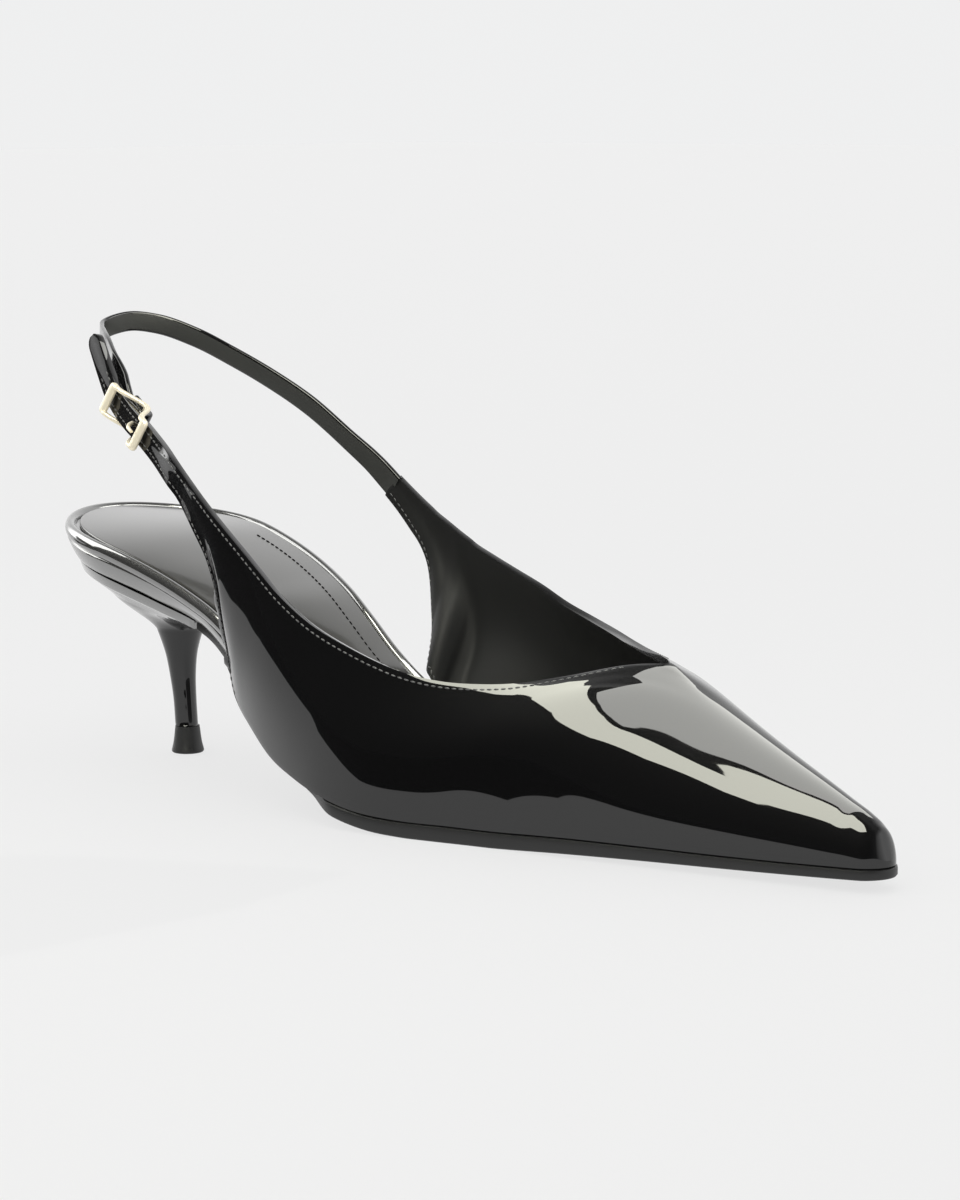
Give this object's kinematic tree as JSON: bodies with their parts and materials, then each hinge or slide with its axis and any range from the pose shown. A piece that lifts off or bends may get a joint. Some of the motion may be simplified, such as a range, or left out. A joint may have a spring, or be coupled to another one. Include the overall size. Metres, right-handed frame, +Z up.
{
  "type": "slingback pump",
  "caption": "Pointed-toe slingback pump with a kitten heel, low-cut vamp with swept wings, and a narrow heel strap closed by a small prong buckle.",
  "frame": {"origin": "middle of the heel tip's resting face, on the floor", "axes": "+X to the toe point, +Y to the inner side of the foot, +Z up; the floor is Z = 0"},
  "size_m": [0.2705, 0.08, 0.1168],
  "materials": {
    "outsole": "smooth dyed leather sole",
    "footbed": "glossy black leather cover with a rolled rim",
    "insole": "polished black leather sock",
    "heel": "patent leather cover",
    "heel_tip": "matte black top piece",
    "upper": "black patent leather, matte dark grey lining",
    "sling_strap": "black patent leather",
    "buckle_frame": "polished pale gold plating",
    "buckle_prong": "polished pale gold plating"
  },
  "bodies": {
    "root": {"outsole": "outsole", "footbed": "footbed", "insole": "insole", "heel": "heel", "heel_tip": "heel_tip", "upper": "upper", "sling_strap": "sling_strap", "buckle_frame": "buckle_frame", "buckle_prong": "buckle_prong"}
  },
  "joints": []
}
